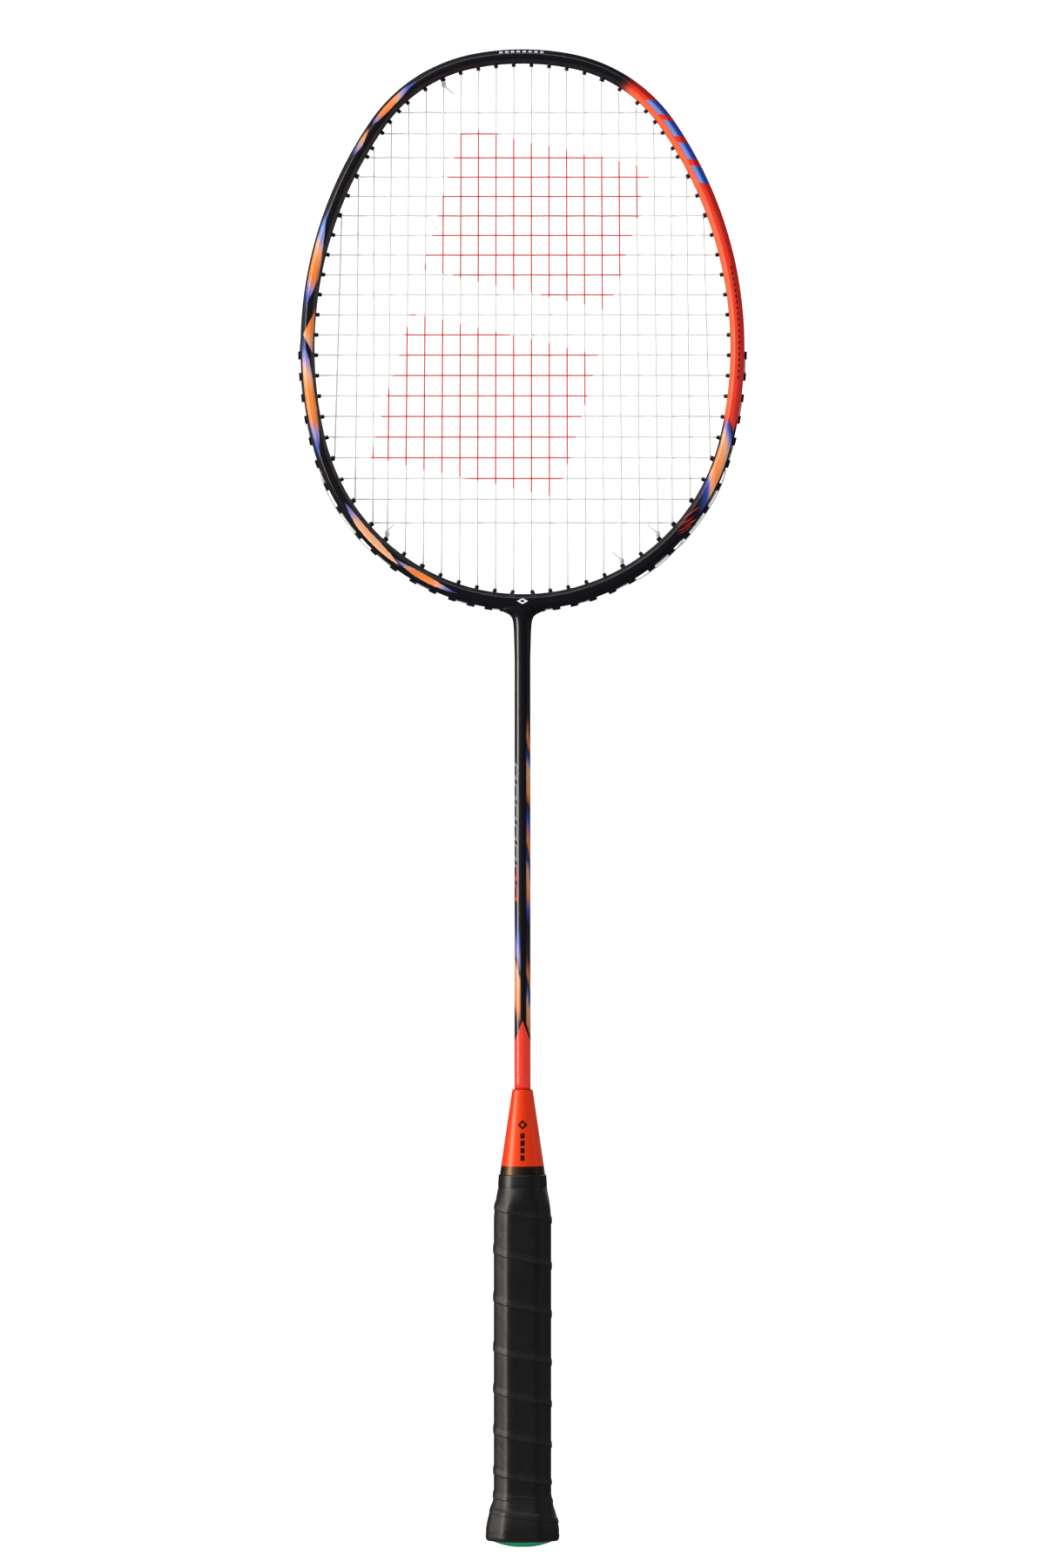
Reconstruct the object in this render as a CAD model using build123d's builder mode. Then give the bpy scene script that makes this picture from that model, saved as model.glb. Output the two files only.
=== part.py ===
from build123d import *

from dataclasses import dataclass
from math import cos, pi, radians, sin, tan
import os

os.makedirs("parts", exist_ok=True)

# A badminton racket standing on its butt: X across the strings, Y through them, Z along the
# shaft. The origin is the centre of the butt end and the front of the head faces -Y.
# All sizes are in millimetres.

# Whole racket
racket_length = 675.0

# Head hoop. Each outline is a chain of tangent arcs from its top round to its bottom, and the
# last arc's radius follows from closing on the centre line.
outer_top = 127.26
outer_radii, outer_turns = (118.5, 73.2, 180.5), (10.6, 45.1, 48.9)
inner_top = 121.1
inner_radii, inner_turns = (112.7, 63.3, 173.5), (11.6, 42.8, 49.4)
head_z = racket_length - outer_top
hoop_depth = 10.8
outer_bevel_width, outer_bevel_depth = 2.2, 2.5
inner_bevel_width, inner_bevel_depth = 1.8, 2.3
crease_radius = 0.7
outer_wall, inner_wall, cavity_depth = 2.1, 0.9, 6.8
groove_width, groove_depth, groove_end = 2.6, 1.1, -5.5

# Throat and shaft
stub_bottom_z = 399.0
shaft_radius, shaft_bore_radius = 3.6, 2.65
shaft_bottom_z = 95.0
stub_sections = [
    (stub_bottom_z, shaft_radius, shaft_radius),
    (407.5, 3.78, 3.85),
    (413.5, 4.0, 4.3),
    (416.8, 4.3, 4.65),
    (418.8, 4.95, 4.9),
    (420.2, 6.3, 5.05),
    (421.2, 8.4, 5.15),
    (422.4, 10.6, 5.25),
    (425.0, 11.4, 5.3),
]
saddle_half_width, saddle_gap, stem_bottom_z = 21.0, 0.05, 362.0
stem_radius = 2.6

# Strings
string_radius = 0.34
mains_each_side, main_pitch, first_main = 11, 7.95, 4.0
main_pitch_low, first_main_low = 8.2, 4.1
weave_offset = 0.36
cross_count = 21
cross_heights = (
    [99.3, 89.6] + [78.8 - 8.7 * i - 0.024 * i * i for i in range(18)] + [-86.7]
)
lead_in = 5.0
channel_height, over_gap, over_spread, knot_gap = 0.42, 0.05, 0.72, 0.5
knot_radius, knot_height, knot_fillet, knot_bore, knot_tail = 1.2, 1.7, 0.4, 0.4, 4.2
tight_bend, easy_bend, easy_turn, straight_share = 0.5, 12.0, 20.0, 0.45
splay_angle, splay_decay = 24.0, 0.52

# Grommets
lip, lip_middle = 1.6, 0.9
barrel_radius, bore_radius = 0.92, 0.46
wide_barrel_radius, wide_bore_radius = 1.15, 0.76
hole_clearance, bore_reach = 0.03, 14.0
mouth_flare = 0.3
flange_length, flange_width, flange_height = 3.6, 3.0, 1.1
sunk_flange_width, sunk_flange_height = 2.3, 0.8
channel_floor = 0.06
channel_width = 0.8
wide_channel_width = 1.5
flange_corner, flat_margin = 0.3, 0.05

# Handle
handle_top_z = 161.8
grip_sections = [
    (2.2, 30.6),
    (3.4, 32.2),
    (6.8, 33.2),
    (10.5, 32.2),
    (14.5, 30.3),
    (18.5, 27.9),
    (22.0, 26.4),
    (27.0, 26.0),
    (147.0, 26.0),
]
grip_shoulder = [(152.0, 25.3, 22.8), (157.0, 23.8, 22.4), (handle_top_z, 21.8, 21.8)]
grip_flattening = 3.0
bevel_share, corner_share = 0.27, 0.12
wrap_thickness = 1.8
neck_radius, tenon_radius, tenon_top_z = 8.5, 7.5, 182.0
band_top_z, band_low_radius, band_top_radius, band_edge = 167.6, 11.0, 10.7, 0.5
cone_bottom_radius, cone_top_radius, cone_top_z, cone_rim = 10.25, 4.6, 205.9, 0.5
cap_top_z, cap_width, cap_dome_radius, cap_flat_radius = 4.2, 30.2, 36.0, 5.7
bore_gap = 0.05


# ---------------------------------------------------------------- head outlines
@dataclass
class Arc:
    x: float
    z: float
    radius: float
    end: float


class Oval:
    """A head outline made of tangent arcs. An angle names the point whose outward normal
    leans that many degrees to the right of straight up."""

    def __init__(self, top, radii, turns):
        self.top, self.radii, self.turns = top, radii, turns
        self.arcs = []
        x, z, angle = 0.0, top, 0.0
        for radius, turn in zip(radii, turns):
            lean = radians(angle)
            arc = Arc(x - radius * sin(lean), z - radius * cos(lean), radius, angle + turn)
            self.arcs.append(arc)
            angle += turn
            x = arc.x + radius * sin(radians(angle))
            z = arc.z + radius * cos(radians(angle))
        closing = x / sin(radians(angle))
        self.arcs.append(Arc(0.0, z - closing * cos(radians(angle)), closing, 180.0))

    def at(self, angle):
        arc = next(a for a in self.arcs if abs(angle) <= a.end + 1e-9)
        side = -1 if angle < 0 else 1
        lean = radians(abs(angle))
        return Vector(side * (arc.x + arc.radius * sin(lean)), arc.z + arc.radius * cos(lean))

    def inset(self, distance):
        radii = [radius - distance for radius in self.radii]
        return Oval(self.top - distance, radii, self.turns)

    def outline(self):
        with BuildLine() as outline:
            start = 0.0
            for arc in self.arcs:
                middle = (start + arc.end) / 2
                ThreePointArc(self.at(start), self.at(middle), self.at(arc.end))
                start = arc.end
            mirror(about=Plane.YZ)
        return outline.edges()


def bisect(function, low, high):
    """The root of a function that changes sign once between low and high."""
    rising = function(low) < 0
    for _ in range(60):
        middle = (low + high) / 2
        if (function(middle) < 0) == rising:
            low = middle
        else:
            high = middle
    return (low + high) / 2


outer = Oval(outer_top, outer_radii, outer_turns)
inner = Oval(inner_top, inner_radii, inner_turns)
lips = inner.inset(lip)
lip_middles = inner.inset(lip_middle)
head_plane = Plane(origin=(0, 0, head_z), x_dir=(1, 0, 0), z_dir=(0, -1, 0))
hoop_bottom_z = head_z + outer.at(180.0).Y


# ---------------------------------------------------------------- string holes
@dataclass
class Hole:
    """A string hole: its mouth inside the hoop, its exit outside and the strands it carries."""

    mouth: Vector
    lean: float
    exit: Vector
    exit_angle: float
    strands: int = 1
    tie_off: bool = False

    def mirrored(self):
        flip = Vector(-self.mouth.X, self.mouth.Y), Vector(-self.exit.X, self.exit.Y)
        return Hole(flip[0], -self.lean, flip[1], -self.exit_angle, self.strands, self.tie_off)

    @property
    def sunk(self):
        return self.exit.Y > groove_end

    @property
    def seat(self):
        return -groove_depth if self.sunk else 0.0

    @property
    def flange_top(self):
        return sunk_flange_height if self.sunk else flange_height

    @property
    def wide(self):
        return self.strands > 1

    def strand_point(self, height, y=0.0):
        """The point on the bore's axis that lies height above the flange's seat."""
        along = Vector(sin(radians(self.lean)), cos(radians(self.lean)))
        reach = (self.seat + height) / cos(radians(self.lean - self.exit_angle))
        spot = self.exit + along * reach
        return Vector(spot.X, y, head_z + spot.Y)

    def mouth_point(self, y=0.0):
        return Vector(self.mouth.X, y, head_z + self.mouth.Y)


def make_hole(angle, splay=0.0):
    mouth, lean = lips.at(angle), angle - splay
    along = Vector(sin(radians(lean)), cos(radians(lean)))

    def miss(candidate):
        reach = outer.at(candidate) - mouth
        return reach.X * along.Y - reach.Y * along.X

    exit_angle = bisect(miss, max(lean - 35, 0.0), min(lean + 35, 180.0))
    return Hole(mouth, lean, outer.at(exit_angle), exit_angle)


def hole_at_x(x, low, high, splay=0.0):
    return make_hole(bisect(lambda a: lip_middles.at(a).X - x, low, high), splay)


def hole_at_height(height):
    return make_hole(bisect(lambda a: lip_middles.at(a).Y - height, 0.0, 180.0))


crosses = [hole_at_height(height) for height in cross_heights]
mains_top = [hole_at_x(first_main + main_pitch * k, 0, 85) for k in range(mains_each_side)]
mains_low = [
    hole_at_x(first_main_low + main_pitch_low * k, 180, 95, splay_angle * splay_decay**k)
    for k in range(mains_each_side)
]

# Near the corners of the bed one hole carries a main and a cross.
shared_top = {10: 5, 9: 3}
shared_low = {10: 17, 9: 19, 8: 20}
for main, cross in shared_top.items():
    mains_top[main] = crosses[cross]
for main, cross in shared_low.items():
    mains_low[main] = crosses[cross]
shared_holes = [crosses[i] for i in (*shared_top.values(), *shared_low.values())]
for hole in shared_holes:
    hole.strands = 2

# The mains end at the eighth lower holes, and the crosses begin and end beside the mains.
end_main, end_cross, start_cross = 7, 5, 4
main_end, cross_end, cross_start = mains_low[end_main], mains_low[end_cross], mains_top[start_cross]
for hole in (main_end, cross_end, cross_start):
    hole.strands, hole.tie_off = 2, True

plain_crosses = [hole for hole in crosses if not hole.wide]
upper_crosses = [hole for hole in plain_crosses if hole.sunk]
lower_crosses = [hole for hole in plain_crosses if not hole.sunk]


def both_sides(holes):
    return [*holes, *(hole.mirrored() for hole in holes)]


groups = {
    "grommets_top": both_sides([h for h in mains_top if not h.wide]),
    "grommets_upper_right": upper_crosses,
    "grommets_upper_left": [h.mirrored() for h in upper_crosses],
    "grommets_lower_right": lower_crosses,
    "grommets_lower_left": [h.mirrored() for h in lower_crosses],
    "grommets_bottom": both_sides([h for h in mains_low if not h.wide]),
    "grommets_shared": both_sides(shared_holes),
    "grommets_tie_off": both_sides([cross_start, main_end, cross_end]),
}
all_holes = [hole for holes in groups.values() for hole in holes]


def bore_plane(hole, start=0.0):
    """The plane across a hole's bore, start beyond its mouth, with its normal pointing out."""
    along = Vector(sin(radians(hole.lean)), 0, cos(radians(hole.lean)))
    return Plane(origin=hole.mouth_point() + along * start, x_dir=(0, 1, 0), z_dir=along)


def seat_plane(hole):
    """The plane a hole's flange sits on: local X along the hoop, local Y through it."""
    lean = radians(hole.exit_angle)
    along, out = Vector(cos(lean), 0, -sin(lean)), Vector(sin(lean), 0, cos(lean))
    return Plane(origin=hole.strand_point(0.0), x_dir=along, z_dir=out)


def cut_string_holes():
    """Bores for every grommet's barrel through the part being built."""
    for wide, radius in ((False, barrel_radius), (True, wide_barrel_radius)):
        places = [bore_plane(h, -1).location for h in all_holes if h.wide == wide]
        with Locations(*places):
            Cylinder(
                radius + hole_clearance,
                bore_reach,
                align=(Align.CENTER, Align.CENTER, Align.MIN),
                mode=Mode.SUBTRACT,
            )


def finish(piece, name):
    """Label a finished piece and write it as its own node."""
    piece.part.label = name
    export_step(piece.part, f"parts/{name}.step")
    print(name, len(piece.solids()), round(piece.part.volume, 1))


# ---------------------------------------------------------------- head frame
with BuildPart() as head_frame:
    with BuildSketch(head_plane):
        make_face(outer.outline())
        make_face(inner.outline(), mode=Mode.SUBTRACT)
    extrude(amount=hoop_depth / 2, both=True)
    for side in (-1, 1):
        rim = head_frame.faces().filter_by(Axis.Y).sort_by(Axis.Y)[0 if side < 0 else -1]
        chamfer(rim.outer_wire().edges(), outer_bevel_width, outer_bevel_depth, reference=rim)
        rim = head_frame.faces().filter_by(Axis.Y).sort_by(Axis.Y)[0 if side < 0 else -1]
        inside_edges = rim.inner_wires()[0].edges()
        chamfer(inside_edges, inner_bevel_width, inner_bevel_depth, reference=rim)
    creases = head_frame.edges().filter_by(lambda e: abs(e.tangent_at(0.5).Y) < 0.01)
    fillet(creases, crease_radius)

    # Throat stub, moulded in one with the hoop
    for z, half_width, half_depth in stub_sections:
        with BuildSketch(Plane.XY.offset(z)):
            Ellipse(half_width, half_depth)
    loft(ruled=True)

    # Hollow of the tube, and the string groove round its upper part
    with BuildSketch(head_plane):
        make_face(outer.inset(outer_wall).outline())
        make_face(inner.inset(-inner_wall).outline(), mode=Mode.SUBTRACT)
    extrude(amount=cavity_depth / 2, both=True, mode=Mode.SUBTRACT)
    with BuildSketch(head_plane):
        make_face(outer.inset(-groove_depth).outline())
        make_face(outer.inset(groove_depth).outline(), mode=Mode.SUBTRACT)
        with Locations((0, groove_end)):
            Rectangle(4 * outer_top, 2 * outer_top, align=(Align.CENTER, Align.MAX),
                      mode=Mode.SUBTRACT)
    extrude(amount=groove_width / 2, both=True, mode=Mode.SUBTRACT)

    # Socket for the joint's stem, the string holes, and the flats for the flanges beside it
    with BuildSketch(Plane.XY.offset(stub_bottom_z)):
        Circle(shaft_bore_radius)
    extrude(amount=hoop_bottom_z + outer_wall - stub_bottom_z + 0.5, mode=Mode.SUBTRACT)
    cut_string_holes()
    for hole in (mains_low[0], mains_low[0].mirrored()):
        with BuildSketch(seat_plane(hole)):
            Rectangle(flange_length + 2 * flat_margin, flange_width + 2 * flat_margin)
        extrude(amount=2 * flange_height, mode=Mode.SUBTRACT)
finish(head_frame, "head_frame")


# ---------------------------------------------------------------- throat joint and shaft
with BuildPart() as t_joint:
    with BuildSketch(head_plane):
        make_face(outer.inset(outer_wall + saddle_gap).outline())
        make_face(inner.inset(-inner_wall - saddle_gap).outline(), mode=Mode.SUBTRACT)
        with Locations((0, -outer_top)):
            Rectangle(2 * saddle_half_width, outer_top, mode=Mode.INTERSECT)
    extrude(amount=cavity_depth / 2 - saddle_gap, both=True)
    with BuildSketch(Plane.XY.offset(stem_bottom_z)):
        Circle(stem_radius)
    extrude(amount=hoop_bottom_z + outer_wall + 1 - stem_bottom_z)
    chamfer(t_joint.faces().sort_by(Axis.Z)[0].edges(), 0.8)
    cut_string_holes()
finish(t_joint, "t_joint")

with BuildPart() as shaft:
    with BuildSketch(Plane.XY.offset(shaft_bottom_z)):
        Circle(shaft_radius)
        Circle(shaft_bore_radius, mode=Mode.SUBTRACT)
    extrude(amount=stub_bottom_z - shaft_bottom_z)
finish(shaft, "shaft")


# ---------------------------------------------------------------- handle
def octagon(width, depth, corner):
    """A closed octagon with rounded corners, its bevels at 45 degrees."""
    cut = bevel_share * min(width, depth)
    with BuildSketch() as sketch:
        Rectangle(width, depth)
        chamfer(sketch.vertices(), cut)
        fillet(sketch.vertices(), corner)
    return sketch.sketch


def octagon_stack(sections, trim=0.0):
    """A solid through octagons given as (height, width, depth), each trim smaller all round."""
    with BuildPart() as stack:
        for z, width, depth in sections:
            with BuildSketch(Plane.XY.offset(z)):
                add(octagon(width - 2 * trim, depth - 2 * trim, corner_share * width))
        loft(ruled=True)
    return stack.part


grip_stations = [(z, width, width - grip_flattening) for z, width in grip_sections]
grip_stations += grip_shoulder

with BuildPart() as butt_cap:
    add(octagon_stack([(0, cap_width, cap_width - grip_flattening),
                       (cap_top_z, cap_width, cap_width - grip_flattening)]))
    with BuildSketch(Plane.XZ):
        dome_z = (cap_dome_radius**2 - cap_flat_radius**2) ** 0.5
        with Locations((0, dome_z)):
            Circle(cap_dome_radius)
            Rectangle(2 * cap_dome_radius, 4 * cap_dome_radius,
                      align=(Align.MAX, Align.CENTER), mode=Mode.SUBTRACT)
    revolve(axis=Axis.Z, mode=Mode.INTERSECT)
finish(butt_cap, "butt_cap")

with BuildPart() as handle_core:
    add(octagon_stack([s for s in grip_stations if s[0] > cap_top_z], wrap_thickness))
    with BuildSketch(Plane.XY.offset(cap_top_z)):
        add(octagon(cap_width - 2 * wrap_thickness, cap_width - grip_flattening - 2 * wrap_thickness,
                    corner_share * cap_width))
    extrude(amount=grip_sections[2][0] - cap_top_z)
    with BuildSketch(Plane.XY.offset(handle_top_z)):
        Circle(neck_radius)
    extrude(amount=band_top_z - handle_top_z)
    with BuildSketch(Plane.XY.offset(band_top_z)):
        Circle(tenon_radius)
    extrude(amount=tenon_top_z - band_top_z)
    chamfer(handle_core.faces().sort_by(Axis.Z)[-1].edges(), 0.8)
    with BuildSketch(Plane.XY.offset(shaft_bottom_z)):
        Circle(shaft_radius + bore_gap)
    extrude(amount=racket_length, mode=Mode.SUBTRACT)
finish(handle_core, "handle_core")

with BuildPart() as grip_wrap:
    add(octagon_stack(grip_stations))
    add(handle_core.part, mode=Mode.SUBTRACT)
    add(butt_cap.part, mode=Mode.SUBTRACT)
    with BuildSketch(Plane.XY.offset(shaft_bottom_z - 1)):
        Circle(shaft_radius + 1)
    extrude(amount=racket_length, mode=Mode.SUBTRACT)
finish(grip_wrap, "grip_wrap")

with BuildPart() as grip_end_band:
    with BuildSketch(Plane.XZ):
        with BuildLine():
            Polyline(
                (neck_radius, handle_top_z),
                (band_low_radius, handle_top_z),
                (band_top_radius, band_top_z),
                (neck_radius, band_top_z),
                close=True,
            )
        make_face()
    revolve(axis=Axis.Z)
    fillet(grip_end_band.edges().group_by(Axis.Z)[-1].sort_by(SortBy.RADIUS)[-1], band_edge)
finish(grip_end_band, "grip_end_band")

with BuildPart() as cone:
    with BuildSketch(Plane.XZ):
        with BuildLine():
            Polyline(
                (tenon_radius, band_top_z),
                (cone_bottom_radius, band_top_z),
                (cone_top_radius, cone_top_z),
                (shaft_radius + bore_gap, cone_top_z),
                (shaft_radius + bore_gap, tenon_top_z),
                (tenon_radius, tenon_top_z),
                close=True,
            )
        make_face()
    revolve(axis=Axis.Z)
    fillet(cone.edges().group_by(Axis.Z)[-1].sort_by(SortBy.RADIUS)[-1], cone_rim)
finish(cone, "cone")


# ---------------------------------------------------------------- grommets
def grommet(hole):
    """A barrel through the hoop wall, with a flange outside that cradles the string."""
    tube = wide_barrel_radius if hole.wide else barrel_radius
    bore = wide_bore_radius if hole.wide else bore_radius
    width = sunk_flange_width if hole.sunk else flange_width
    height = sunk_flange_height if hole.sunk else flange_height
    channel = wide_channel_width if hole.wide else channel_width
    barrel_length = (hole.exit - hole.mouth).length
    with BuildPart() as piece:
        with BuildSketch(seat_plane(hole)) as flange:
            Rectangle(flange_length, width)
            fillet(flange.vertices(), flange_corner)
        extrude(amount=height)
        with BuildSketch(bore_plane(hole)):
            Circle(tube)
        extrude(amount=barrel_length + hole.seat + channel_floor)
        with BuildSketch(seat_plane(hole).offset(channel_floor)):
            Rectangle(2 * flange_length, channel)
        extrude(amount=height, mode=Mode.SUBTRACT)
        with BuildSketch(bore_plane(hole, -1)):
            Circle(bore)
        extrude(amount=barrel_length + hole.seat + height + 2, mode=Mode.SUBTRACT)
        lip_edge = piece.edges().filter_by(GeomType.CIRCLE).sort_by_distance(hole.mouth_point())[0]
        chamfer(lip_edge, mouth_flare)
    return piece.part


for name, holes in groups.items():
    with BuildPart() as grommets:
        for hole in holes:
            add(grommet(hole))
    finish(grommets, name)


# ---------------------------------------------------------------- strings
def lane_y(hole, lane):
    """Two strands in one hole lie side by side; a single one is in the middle."""
    return lane * weave_offset if hole.wide else 0.0


def through(hole, lane):
    """A strand's points through a hole, from its channel outside to its mouth inside."""
    y = lane_y(hole, lane)
    return [hole.strand_point(channel_height, y), hole.mouth_point(y)]


def run(start, end, lane, start_lane=None, end_lane=None):
    """A straight run across the bed, with the holes it comes from and goes into."""
    start_lane = lane if start_lane is None else start_lane
    end_lane = lane if end_lane is None else end_lane
    first, last = through(start, start_lane), through(end, end_lane)
    step = (last[1] - first[1]).normalized() * lead_in
    level = Vector(0, lane * weave_offset, 0)
    entry, leaving = first[1] + step, last[1] - step
    points = first
    if abs(first[1].Y - level.Y) > 0.01:
        points = points + [Vector(entry.X, level.Y, entry.Z)]
    if abs(last[1].Y - level.Y) > 0.01:
        points = points + [Vector(leaving.X, level.Y, leaving.Z)]
    return points + [last[1], last[0]]


def over(hole, lane, spread=over_spread):
    """The point where a strand passes over another strand's flange."""
    return hole.strand_point(hole.flange_top + string_radius + over_gap, lane * spread)


def bridge(start, end, lane):
    """Points over every hole that a strand passes on its way outside from one hole to another."""
    low, high = sorted((start.exit_angle, end.exit_angle))
    between = [h for h in all_holes if low + 0.1 < h.exit_angle < high - 0.1]
    between.sort(key=lambda h: h.exit_angle, reverse=start.exit_angle > end.exit_angle)
    if between or low < 0 < high:
        return [over(hole, lane) for hole in between]
    middle = (start.exit_angle + end.exit_angle) / 2
    out = Vector(sin(radians(middle)), cos(radians(middle)))
    spot = outer.at(middle) + out * (max(start.seat, end.seat) + channel_height)
    return [Vector(spot.X, (lane_y(start, lane) + lane_y(end, lane)) / 2, head_z + spot.Y)]


def tail(hole, lane):
    """A string's end: down through its tie-off hole to the knot just inside."""
    y = lane * weave_offset
    along = (hole.mouth_point(y) - hole.strand_point(0.0, y)).normalized()
    return [over(hole, lane, weave_offset), hole.mouth_point(y) + along * knot_gap]


def bend_radius(before, corner, after):
    """As wide as both straights allow, but tight where the string turns a corner."""
    turn = (corner - before).get_angle(after - corner)
    straight = min((corner - before).length, (after - corner).length)
    limit = tight_bend if turn > easy_turn else easy_bend
    return min(limit, straight_share * straight / tan(radians(turn / 2)))


def string_solid(name, points):
    radii = [bend_radius(*points[i - 1 : i + 2]) for i in range(1, len(points) - 1)]
    with BuildPart() as piece:
        with BuildLine() as route:
            FilletPolyline(*points, radius=radii)
        path = route.wires()[0]
        with BuildSketch(Plane(origin=path @ 0, z_dir=path % 0)):
            Circle(string_radius)
        sweep()
    expected = path.length * pi * string_radius**2
    print(name, "length", round(path.length), "volume over expected", piece.part.volume / expected)
    print(name, "bend radii", round(min(radii), 2), "to", round(max(radii), 2))
    return piece


mirrored_low = [hole.mirrored() for hole in mains_low]
mirrored_top = [hole.mirrored() for hole in mains_top]


def mains_half(top, low):
    """The lengthwise string on one side, from the centre out to its knot."""
    points = []
    for k in range(mains_each_side):
        start, end = (top[k], low[k]) if k % 2 == 0 else (low[k], top[k])
        lanes = [-1 if hole is low[end_main] else 1 for hole in (start, end)]
        points += run(start, end, 1, *lanes)
        following = low[end_main] if k == mains_each_side - 1 else (top, low)[1 - k % 2][k + 1]
        points += bridge(end, following, 1)
    return points + tail(low[end_main], 1)


left_half, right_half = mains_half(mirrored_top, mirrored_low), mains_half(mains_top, mains_low)
main_string = string_solid("main_string", left_half[::-1] + right_half)
finish(main_string, "main_string")

knot_hole = cross_start.mirrored()
cross_points = tail(knot_hole, -1)[::-1] + bridge(knot_hole, crosses[0].mirrored(), -1)
for i, hole in enumerate(crosses):
    start, end = (hole.mirrored(), hole) if i % 2 == 0 else (hole, hole.mirrored())
    cross_points += run(start, end, -1)
    if i < cross_count - 1:
        twin = crosses[i + 1] if i % 2 == 0 else crosses[i + 1].mirrored()
        cross_points += bridge(end, twin, -1)
cross_points += bridge(crosses[-1], cross_end, -1) + tail(cross_end, -1)
cross_string = string_solid("cross_string", cross_points)
finish(cross_string, "cross_string")


# ---------------------------------------------------------------- knots
def knot(hole, far_hole, y, side):
    """A tie-off knot round a main, just inside a hole, with its cut end sticking out."""
    mouth = hole.mouth_point(y)
    far = far_hole.mouth_point()
    level = mouth + (far - mouth).normalized() * lead_in
    along = (Vector(level.X, weave_offset, level.Z) - mouth).normalized()
    start = mouth + along * knot_gap
    with BuildPart() as piece:
        with BuildSketch(Plane(origin=start, z_dir=along)):
            Circle(knot_radius)
        extrude(amount=knot_height)
        fillet(piece.edges(), knot_fillet)
        outward = (Vector(side, 0, 0) + along * 0.6).normalized()
        with BuildSketch(Plane(origin=start + along * knot_height / 2, z_dir=outward)):
            Circle(string_radius)
        extrude(amount=knot_radius + knot_tail)
        with BuildSketch(Plane(origin=start - along, z_dir=along)):
            Circle(knot_bore)
        extrude(amount=knot_height + 2, mode=Mode.SUBTRACT)
    return piece.part


with BuildPart() as main_string_knots:
    add(knot(main_end, mains_top[end_main], -weave_offset, -1))
    add(knot(main_end.mirrored(), mirrored_top[end_main], -weave_offset, 1))
finish(main_string_knots, "main_string_knots")

with BuildPart() as cross_string_knots:
    add(knot(cross_end, mains_top[end_cross], weave_offset, -1))
    add(knot(cross_start.mirrored(), mirrored_low[start_cross], weave_offset, 1))
finish(cross_string_knots, "cross_string_knots")
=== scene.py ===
"""A badminton racket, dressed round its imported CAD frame.

Lengths are in millimetres until a mesh is made. X runs across the strings, Y through them and Z
up the shaft, and the front of the head faces -Y.
"""

from dataclasses import dataclass
from math import cos, pi, radians, sin, tan, tau

import bmesh
import bpy
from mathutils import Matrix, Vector


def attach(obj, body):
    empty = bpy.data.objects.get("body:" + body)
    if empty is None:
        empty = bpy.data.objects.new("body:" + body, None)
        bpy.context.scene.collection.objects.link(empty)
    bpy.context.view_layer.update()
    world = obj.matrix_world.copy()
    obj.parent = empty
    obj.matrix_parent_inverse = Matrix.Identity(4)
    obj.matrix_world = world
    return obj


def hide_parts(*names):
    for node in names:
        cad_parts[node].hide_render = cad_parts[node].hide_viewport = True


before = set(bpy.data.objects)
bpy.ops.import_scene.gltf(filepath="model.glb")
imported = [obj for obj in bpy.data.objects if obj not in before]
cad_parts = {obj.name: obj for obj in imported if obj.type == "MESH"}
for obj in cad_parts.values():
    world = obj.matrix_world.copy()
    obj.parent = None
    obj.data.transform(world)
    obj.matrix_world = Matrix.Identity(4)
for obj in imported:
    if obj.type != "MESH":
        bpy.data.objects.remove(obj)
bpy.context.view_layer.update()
MM = 0.001

# ---------------------------------------------------------------- sizes
racket_length = 675.0

# Head hoop: each outline is a chain of tangent arcs from its top round to its bottom
outer_top = 127.26
outer_radii, outer_turns = (118.5, 73.2, 180.5), (10.6, 45.1, 48.9)
inner_top = 121.1
inner_radii, inner_turns = (112.7, 63.3, 173.5), (11.6, 42.8, 49.4)
head_z = racket_length - outer_top
hoop_depth = 10.8
outer_bevel_width, outer_bevel_depth = 2.2, 2.5
inner_bevel_width, inner_bevel_depth = 1.8, 2.3
crease_radius, groove_corner = 1.0, 0.25
groove_width, groove_depth, groove_end, groove_run_out = 2.6, 1.1, -5.5, 3.0
hoop_stations = 960

# Shaft and throat, as (height, half width, half depth)
shaft_low_z, flare_z = 204.0, 399.0
shaft_step, shaft_steps, flare_step, flare_steps, tube_sides = 5.0, 39, 0.4, 65, 64
throat_sections = [
    (shaft_low_z, 3.6, 3.6), (flare_z, 3.6, 3.6), (407.5, 3.78, 3.85), (413.5, 4.0, 4.3),
    (416.8, 4.3, 4.65), (418.8, 4.95, 4.9), (420.2, 6.3, 5.05), (421.2, 8.4, 5.15),
    (422.4, 10.6, 5.25), (424.6, 11.4, 5.3),
]

# Strings
string_radius, weave_reach, weave_steps = 0.34, 0.35, 5
main_count, main_pitch, first_main = 11, 7.95, 4.0
main_pitch_low, first_main_low = 8.2, 4.1
cross_heights = (
    [99.3, 89.6] + [78.8 - 8.7 * i - 0.024 * i * i for i in range(18)] + [-86.7]
)
splay_angle, splay_decay = 24.0, 0.52
lip, lip_middle = 1.6, 0.9
channel_height, over_gap, over_spread = 0.42, 0.05, 0.72
flange_height, sunk_flange_height = 1.1, 0.8
knot_gap, knot_turns, knot_coil_radius, knot_tail = 0.6, 3, 0.78, 4.4
knot_steps, tail_steps = 14, 7

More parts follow.
